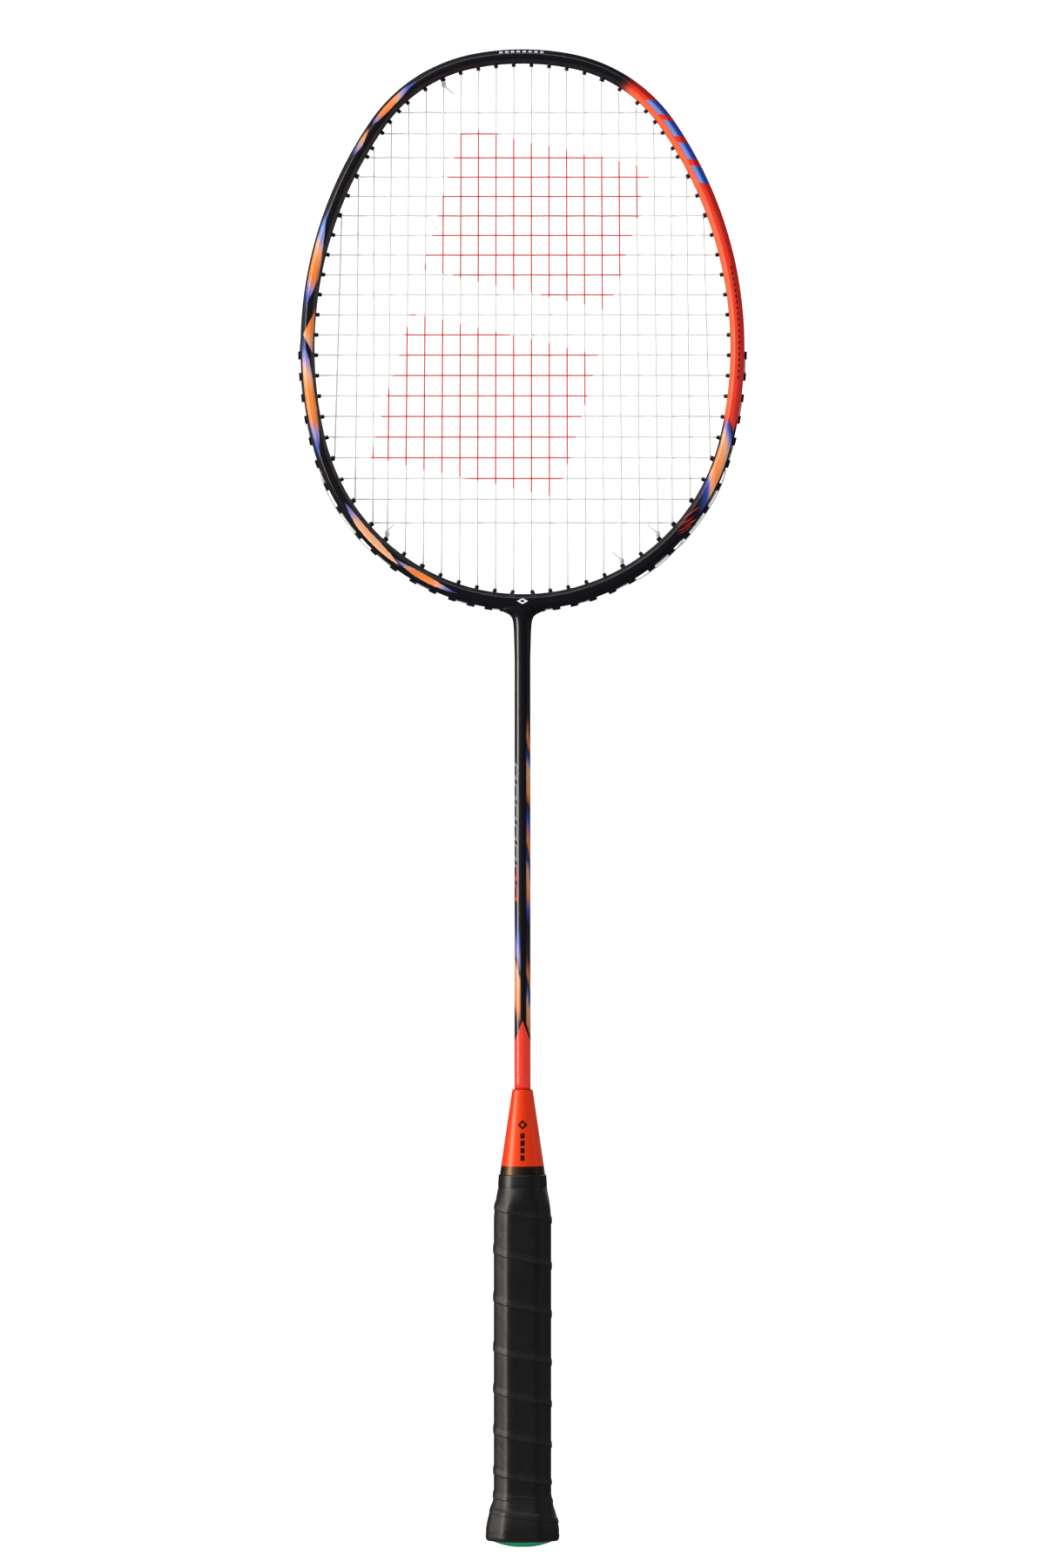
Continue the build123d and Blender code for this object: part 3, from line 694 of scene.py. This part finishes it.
def turned(name, corners, radii, finish, nodes, steps=144, edge_steps=5):
    """A shape turned about Z from a closed outline of (radius, height) corners."""
    outline = rounded([Vector(corner) for corner in corners], radii, edge_steps)
    rows = []
    for step in range(steps):
        angle = tau * step / steps
        rows.append([Vector((p.x * cos(angle), p.x * sin(angle), p.y)) for p in outline])
    return lofted(name, rows, finish, nodes, lambda i, j: (i / steps, j / len(outline)), ring=True)


# ---------------------------------------------------------------- head outlines and string holes
@dataclass
class Arc:
    x: float
    z: float
    radius: float
    end: float


class Oval:
    """A head outline made of tangent arcs. An angle names the point whose outward normal leans
    that many degrees to the right of straight up."""

    def __init__(self, top, radii, turns):
        self.top, self.radii, self.turns = top, radii, turns
        self.arcs = []
        x, z, angle = 0.0, top, 0.0
        for radius, turn in zip(radii, turns):
            lean = radians(angle)
            arc = Arc(x - radius * sin(lean), z - radius * cos(lean), radius, angle + turn)
            self.arcs.append(arc)
            angle += turn
            x = arc.x + radius * sin(radians(angle))
            z = arc.z + radius * cos(radians(angle))
        closing = x / sin(radians(angle))
        self.arcs.append(Arc(0.0, z - closing * cos(radians(angle)), closing, 180.0))

    def at(self, angle):
        arc = next(a for a in self.arcs if abs(angle) <= a.end + 1e-9)
        lean, side = radians(abs(angle)), (-1 if angle < 0 else 1)
        return Vector((side * (arc.x + arc.radius * sin(lean)), arc.z + arc.radius * cos(lean)))

    def inset(self, distance):
        return Oval(self.top - distance, [r - distance for r in self.radii], self.turns)


outer = Oval(outer_top, outer_radii, outer_turns)
inner = Oval(inner_top, inner_radii, inner_turns)
lips, lip_middles = inner.inset(lip), inner.inset(lip_middle)


def in_space(point, y=0.0):
    """A point of the head's own plane, measured from the middle of the head."""
    return Vector((point.x, y, head_z + point.y))


def bisect(function, low, high):
    """The root of a function that changes sign once between low and high."""
    rising = function(low) < 0
    for _ in range(50):
        middle = (low + high) / 2
        if (function(middle) < 0) == rising:
            low = middle
        else:
            high = middle
    return (low + high) / 2


def heading(angle):
    return Vector((sin(radians(angle)), cos(radians(angle))))


@dataclass
class Hole:
    """A string hole: its mouth inside the hoop, its exit outside and the strings it carries."""

    mouth: Vector
    lean: float
    exit: Vector
    exit_angle: float
    strands: int = 1

    def mirrored(self):
        flip = Vector((-1, 1))
        return Hole(self.mouth * flip, -self.lean, self.exit * flip, -self.exit_angle, self.strands)

    @property
    def sunk(self):
        return self.exit.y > groove_end

    @property
    def seat(self):
        return -groove_depth if self.sunk else 0.0

    @property
    def flange_top(self):
        return sunk_flange_height if self.sunk else flange_height

    def lane(self, side):
        return side * weave_reach if self.strands > 1 else 0.0

    def above(self, height, y=0.0):
        """The point on the bore's line that lies height above the flange's seat."""
        reach = (self.seat + height) / cos(radians(self.lean - self.exit_angle))
        return in_space(self.exit + heading(self.lean) * reach, y)


def make_hole(angle, splay=0.0):
    mouth, lean = lips.at(angle), angle - splay
    along = heading(lean)

    def miss(candidate):
        reach = outer.at(candidate) - mouth
        return reach.x * along.y - reach.y * along.x

    exit_angle = bisect(miss, max(lean - 35, 0.0), min(lean + 35, 180.0))
    return Hole(mouth, lean, outer.at(exit_angle), exit_angle)


def hole_at_x(x, low, high, splay=0.0):
    return make_hole(bisect(lambda a: lip_middles.at(a).x - x, low, high), splay)


crosses = [
    make_hole(bisect(lambda a: lip_middles.at(a).y - height, 0.0, 180.0))
    for height in cross_heights
]
mains_top = [hole_at_x(first_main + main_pitch * k, 0, 85) for k in range(main_count)]
mains_low = [
    hole_at_x(first_main_low + main_pitch_low * k, 180, 95, splay_angle * splay_decay**k)
    for k in range(main_count)
]
# Some holes carry a main and a cross, and some a string and the end of another
for main, cross in {10: 5, 9: 3}.items():
    mains_top[main] = crosses[cross]
for main, cross in {10: 17, 9: 19, 8: 20}.items():
    mains_low[main] = crosses[cross]
end_main, end_cross, start_cross = 7, 5, 4
for hole in (*mains_top[9:], *mains_low[8:], mains_low[7], mains_low[5], mains_top[4]):
    hole.strands = 2
mirror_top, mirror_low = ([h.mirrored() for h in holes] for holes in (mains_top, mains_low))
mirror_crosses = [hole.mirrored() for hole in crosses]
all_holes = {
    round(h.exit_angle, 4): h
    for h in (*mains_top, *mains_low, *crosses, *mirror_top, *mirror_low, *mirror_crosses)
}.values()


# ---------------------------------------------------------------- hoop
def hoop_section(width, groove):
    """The hoop's cross-section as points of (distance from its inner face, depth)."""
    face, back = hoop_depth / 2 - outer_bevel_depth, hoop_depth / 2
    half = [
        (width - groove, groove_width / 2 - 0.15, groove_corner),
        (width, groove_width / 2, groove_corner),
        (width, face, crease_radius),
        (width - outer_bevel_width, back, crease_radius),
        (inner_bevel_width, back, crease_radius),
        (0.0, back - inner_bevel_depth, crease_radius),
    ]
    corners = half + [(x, -y, r) for x, y, r in reversed(half)]
    return rounded([Vector(c[:2]) for c in corners], [c[2] for c in corners])


hoop_rows, hoop_shares, hoop_along = [], [], []
for station in range(hoop_stations):
    angle = 360 * station / hoop_stations - 180
    rim, bore = outer.at(angle), inner.at(angle)
    width, out = (rim - bore).length, (rim - bore).normalized()
    groove = groove_depth * ease((rim.y - groove_end) / groove_run_out)
    section = hoop_section(width, groove)
    hoop_rows.append([in_space(bore + out * p.x, p.y) for p in section])
    hoop_shares.append([p.x / width for p in section])
    middle = (rim + bore) / 2
    travelled = (middle - last_middle).length if station else 0.0
    hoop_along.append(hoop_along[-1] + travelled if station else -half_round)
    last_middle = middle
hoop_shares.append(hoop_shares[0])
hoop_along.append(half_round)


def hoop_uv(i, j):
    return hoop_along[i] * MM, hoop_shares[i][j % len(hoop_shares[0])]


lofted("hoop", hoop_rows, "painted_hoop", ["head_frame"], hoop_uv, ring=True)


# ---------------------------------------------------------------- shaft, cone and end band
shaft_rows = []
heights = [shaft_low_z + shaft_step * i for i in range(shaft_steps)]
heights += [flare_z + flare_step * i for i in range(flare_steps)]
for z in heights:
    wide, deep = smooth(throat_sections, z, 1), smooth(throat_sections, z, 2)
    turns = [tau * j / tube_sides for j in range(tube_sides)]
    shaft_rows.append([Vector((wide * cos(a), deep * sin(a), z)) for a in turns])
lofted("shaft_tube", shaft_rows, "painted_shaft", ["shaft"],
       lambda i, j: (j / tube_sides, heights[i] * MM), capped=True)

turned(
    "cone_sleeve",
    [(cone_bore, band_top_z - 0.4), (10.25, band_top_z - 0.4), (9.66, collar_z), (4.6, cone_top_z),
     (cone_neck, cone_top_z), (cone_neck, cone_step_z), (cone_bore, cone_step_z)],
    [0.1, 0.3, 8.0, 0.55, 0.2, 0.1, 0.1],
    "cone_paint", ["cone"],
)
turned(
    "end_band",
    [(band_bore, band_z - 0.2), (11.0, band_z - 0.2), (11.05, band_z + 1.6), (10.75, band_top_z),
     (band_bore, band_top_z)],
    [0.1, 0.35, 2.0, 0.6, 0.1],
    "grip_band", ["grip_end_band"],
)


# ---------------------------------------------------------------- grip tape and butt cap
def octagon_reach(angle, width, depth, softness=corner_softness):
    """How far a soft-cornered octagon reaches from its centre at an angle."""
    cut = bevel_share * min(width, depth)
    bevel = ((width + depth) / 2 - cut) / 2**0.5
    faces = [(0, width / 2), (45, bevel), (90, depth / 2), (135, bevel)]
    pull = sum(abs(cos(angle - radians(lean)) / half) ** softness for lean, half in faces)
    return pull ** (-1 / softness)


def grip_point(angle, z, lift):
    """A point on the handle's outside at a height, lifted off it."""
    width = smooth(grip_sections, z)
    flat = grip_flattening * (1 - ease((z - grip_round_start) / 10))
    reach = octagon_reach(angle, width, width - flat)
    round_reach = width / 2
    share = ease((z - grip_round_start) / (band_z - grip_round_start))
    reach = reach * (1 - share) + round_reach * share + lift
    return Vector((reach * cos(angle), reach * sin(angle), z))


def tape_loop(turn):
    """The tape's cross-section at a turn, as (height, lift off the handle, share across). Its
    lower edge lies raised on the turn below, and its upper edge is tucked under the turn above."""
    low, high = smooth(tape_edge, turn), wrap_top_z
    if turn - 1 > tape_edge[0][0]:
        high = smooth(tape_edge, turn - 1)
    width = max(high - low, 0.3)
    fade = ease(width / 4)
    tuck = tape_overlap * fade * ease((wrap_top_z - high) / 3)

    def lapped(distance):
        return 1 - ease((distance - tape_overlap) / tape_slope)

    top = tape_raise * fade
    loop = [(low + d * min(width / 12, 1), share * top) for d, share in tape_lip]
    loop += [(low + width * share, top * lapped(width * share)) for share in tape_across]
    loop += [(high + 0.05 * fade, -0.02), (high + 0.3 * fade, -0.14), (high + tuck, -0.2)]
    # The underside follows every third point of the top, back to the lower edge
    for z, lift in loop[:1:-3]:
        thinner = (tape_thickness - tape_lip_thickness) * lapped(z - low)
        loop.append((z, lift - tape_thickness + thinner))
    return [(z, lift, min(max((z - low) / width, 0.0), 1.0)) for z, lift in loop]


tape_turns = tape_edge[-1][0] - tape_edge[0][0]
tape_rows, tape_shares = [], []
tape_stations = round(tape_turns * tape_steps_per_turn)
for station in range(tape_stations + 1):
    turn = tape_edge[0][0] + tape_turns * station / tape_stations
    loop = tape_loop(turn)
    tape_rows.append([grip_point(pi + tau * turn, z, lift) for z, lift, _ in loop])
    tape_shares.append([share for _, _, share in loop])


def tape_uv(i, j):
    return i / tape_steps_per_turn, tape_shares[i][j % len(tape_shares[0])]


tape = lofted("grip_tape", tape_rows, "grip_tape", ["grip_wrap"], tape_uv, capped=True)

# The butt cap is domed, with two ring grooves, as (share of the way out, groove depth)
cap_rings = [
    (0.1, 0), (0.2, 0), (0.3, 0), (0.37, 0), (0.46, 0), (0.53, 0), (0.545, 0.22), (0.56, 0.3),
    (0.575, 0.22), (0.59, 0), (0.66, 0), (0.73, 0), (0.745, 0.22), (0.76, 0.3), (0.775, 0.22),
    (0.79, 0), (0.88, 0), (0.94, 0), (0.98, 0.06), (0.996, 0.24), (1.0, 0.5),
]
cap_width, cap_dome_radius, cap_flat_radius, cap_top_z, cap_sides = 30.2, 36.0, 5.7, 4.2, 128
dome_z = (cap_dome_radius**2 - cap_flat_radius**2) ** 0.5
cap_rows = []
for share, groove in [*cap_rings, (1.0, None)]:
    row = []
    for j in range(cap_sides):
        angle = tau * j / cap_sides
        reach = share * octagon_reach(angle, cap_width, cap_width - grip_flattening)
        z = cap_top_z if groove is None else groove + max(
            0.0, dome_z - (cap_dome_radius**2 - reach**2) ** 0.5
        )
        row.append(Vector((reach * cos(angle), reach * sin(angle), z)))
    cap_rows.append(row)
lofted("cap_dome", cap_rows, "cap_plastic", ["butt_cap"],
       lambda i, j: (j / cap_sides, i / len(cap_rows)), capped=True)


# ---------------------------------------------------------------- strings
def crossing(a, b, c, d):
    """How far along a-b and along c-d the two meet, as shares, or None."""
    one, other, gap = b - a, d - c, c - a
    turn = one.x * other.y - one.y * other.x
    shares = (gap.x * other.y - gap.y * other.x) / turn, (gap.x * one.y - gap.y * one.x) / turn
    return shares if all(0.002 < share < 0.998 for share in shares) else None


mains = [*reversed(list(zip(mirror_top, mirror_low))), *zip(mains_top, mains_low)]
rows = list(zip(mirror_crosses, crosses))
main_meets, cross_meets = [[] for _ in mains], [[] for _ in rows]
for column, (top, low) in enumerate(mains):
    for row, (left, right) in enumerate(rows):
        shares = crossing(top.mouth, low.mouth, left.mouth, right.mouth)
        if shares:
            side = 1 if (column + row) % 2 else -1
            main_meets[column].append((shares[0], side))
            cross_meets[row].append((shares[1], -side))


def woven(start, end, meets, lanes):
    """Points from one hole's mouth to another's, over and under the strings on the way."""
    stops = [(0.0, lanes[0]), *((s, side * weave_reach) for s, side in meets), (1.0, lanes[1])]
    points = []
    for (s0, y0), (s1, y1) in zip(stops, stops[1:]):
        for step in range(weave_steps):
            t = step / weave_steps
            spot = start.mouth.lerp(end.mouth, s0 + (s1 - s0) * t)
            points.append(in_space(spot, y0 + (y1 - y0) * ease(t)))
    return points + [in_space(end.mouth, lanes[1])]


def softened(points):
    """The same route with its corners cut twice."""
    for _ in range(2):
        cut = [points[0]]
        for a, b in zip(points, points[1:]):
            cut += [a.lerp(b, 0.25), a.lerp(b, 0.75)]
        points = cut + [points[-1]]
    return points


def over(hole, side, spread=over_spread):
    """Where a strand passes over another strand's flange."""
    return hole.above(hole.flange_top + string_radius + over_gap, side * spread)


def outside(start, end, side):
    """Points over every hole a strand passes outside, or one midway if it passes none."""
    low, high = sorted((start.exit_angle, end.exit_angle))
    between = [h for h in all_holes if low + 0.1 < h.exit_angle < high - 0.1]
    between.sort(key=lambda h: h.exit_angle, reverse=start.exit_angle > end.exit_angle)
    if between or low < 0 < high:
        return [over(hole, side) for hole in between]
    middle = (start.exit_angle + end.exit_angle) / 2
    spot = outer.at(middle) + heading(middle) * (max(start.seat, end.seat) + channel_height)
    return [in_space(spot, (start.lane(side) + end.lane(side)) / 2)]


def lane_in(hole, side):
    """Where a strand lies in its hole; the mains give way where their own end is tied."""
    gives_way = side > 0 and hole in (mains_low[end_main], mirror_low[end_main])
    return hole.lane(-1 if gives_way else side)


def link(start, end, side):
    """The string outside the hoop, from one mouth to the next."""
    near, far = lane_in(start, side), lane_in(end, side)
    points = [in_space(start.mouth, near), start.above(channel_height, near)]
    points += outside(start, end, side)
    points += [end.above(channel_height, far), in_space(end.mouth, far)]
    return softened(points)[1:-1]


def tied_off(start, hole, side):
    """The string's last stretch: over the hoop, and down a hole to its knot."""
    near, y = lane_in(start, side), side * weave_reach
    points = [in_space(start.mouth, near), start.above(channel_height, near)]
    points += outside(start, hole, side)
    inward = (in_space(hole.mouth, y) - hole.above(0.0, y)).normalized()
    points += [over(hole, side, weave_reach), in_space(hole.mouth, y) + inward * knot_gap]
    return softened(points)[1:]


def stringed(first_hole, runs, last_hole, side):
    """A whole string. Each run is a start hole, an end hole and the strings met between."""
    points = tied_off(runs[0][0], first_hole, side)[::-1]
    for i, (start, end, meets) in enumerate(runs):
        points += woven(start, end, meets, (lane_in(start, side), lane_in(end, side)))
        if i < len(runs) - 1:
            points += link(end, runs[i + 1][0], side)
    return points + tied_off(runs[-1][1], last_hole, side)


def going(line, meets, forward):
    """A run along a line of the bed, one way or the other."""
    start, end = line if forward else line[::-1]
    ordered = sorted(meets)
    if not forward:
        ordered = [(1 - share, side) for share, side in reversed(ordered)]
    return start, end, ordered


def cord_curve(name, routes, node):
    """Round strands along routes of points."""
    curve = bpy.data.curves.new(name, "CURVE")
    curve.dimensions, curve.bevel_depth, curve.bevel_resolution = "3D", string_radius * MM, 2
    curve.use_fill_caps = True
    for route in routes:
        spline = curve.splines.new("POLY")
        spline.points.add(len(route) - 1)
        spline.points.foreach_set("co", [c for p in route for c in (*(p * MM), 1.0)])
    return dressed(name, curve, "string_nylon", [node])


# The lengthwise string runs outward from the centre both ways, turning at each end
main_runs = []
for column, line in enumerate(mains):
    right = column >= main_count
    steps_out = column - main_count if right else main_count - 1 - column
    main_runs.append(going(line, main_meets[column], (steps_out % 2 == 0) == right))
cross_runs = [going(line, cross_meets[row], row % 2 == 0) for row, line in enumerate(rows)]
cord_curve(
    "lengthwise_string",
    [stringed(mirror_low[end_main], main_runs, mains_low[end_main], 1)],
    "main_string",
)
cord_curve(
    "crosswise_string",
    [stringed(mirror_top[start_cross], cross_runs, mains_low[end_cross], -1)],
    "cross_string",
)


def knot(hole, far_hole, y, side):
    """A few turns round a string just inside a hole, and the cut end left sticking out."""
    mouth = in_space(hole.mouth, y)
    along = (in_space(far_hole.mouth) - mouth).normalized()
    across = along.cross(Vector((0, 1, 0))).normalized()
    depth = along.cross(across)
    points = []
    for step in range(knot_steps * knot_turns + 1):
        turn = step / knot_steps
        ring = across * cos(tau * turn) + depth * sin(tau * turn)
        rise = along * (knot_gap + 2.05 * string_radius * turn)
        points.append(mouth + rise + ring * knot_coil_radius)
    outward = (Vector((side, 0, 0)) + along * 0.6).normalized()
    for step in range(1, tail_steps + 1):
        reach = knot_tail * step / tail_steps
        points.append(points[knot_steps * knot_turns] + outward * reach + along * 0.05 * reach**2)
    return points


cord_curve(
    "lengthwise_knots",
    [knot(mains_low[end_main], mains_top[end_main], -weave_reach, -1),
     knot(mirror_low[end_main], mirror_top[end_main], -weave_reach, 1)],
    "main_string_knots",
)
cord_curve(
    "crosswise_knots",
    [knot(mains_low[end_cross], mains_top[end_cross], weave_reach, -1),
     knot(mirror_top[start_cross], mirror_low[start_cross], weave_reach, 1)],
    "cross_string_knots",
)


# ---------------------------------------------------------------- kept CAD nodes
kept = {name: "grommet_nylon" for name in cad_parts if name.startswith("grommets")}
kept |= {"handle_core": "handle_wood", "t_joint": "carbon_insert"}
for node, finish in kept.items():
    for material_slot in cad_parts[node].material_slots:
        material_slot.material = finishes[finish]


# ---------------------------------------------------------------- floor and surround
def staged(name, shape, **sizes):
    """A plain white piece of the studio, which is no piece of the racket."""
    mesh, built = bpy.data.meshes.new(name), bmesh.new()
    shape(built, **sizes)
    built.to_mesh(mesh)
    built.free()
    mesh.materials.append(studio_white())
    piece = put(name, mesh)
    return piece


floor = staged("studio_floor", bmesh.ops.create_circle, cap_ends=True, radius=8.0, segments=96)
floor.visible_glossy = False
floor.location.z = -0.0005  # just below the cap's flat foot
surround = staged("studio_surround", bmesh.ops.create_icosphere, subdivisions=4, radius=9.0)
surround.visible_diffuse = surround.visible_glossy = surround.visible_shadow = False

bpy.context.view_layer.update()
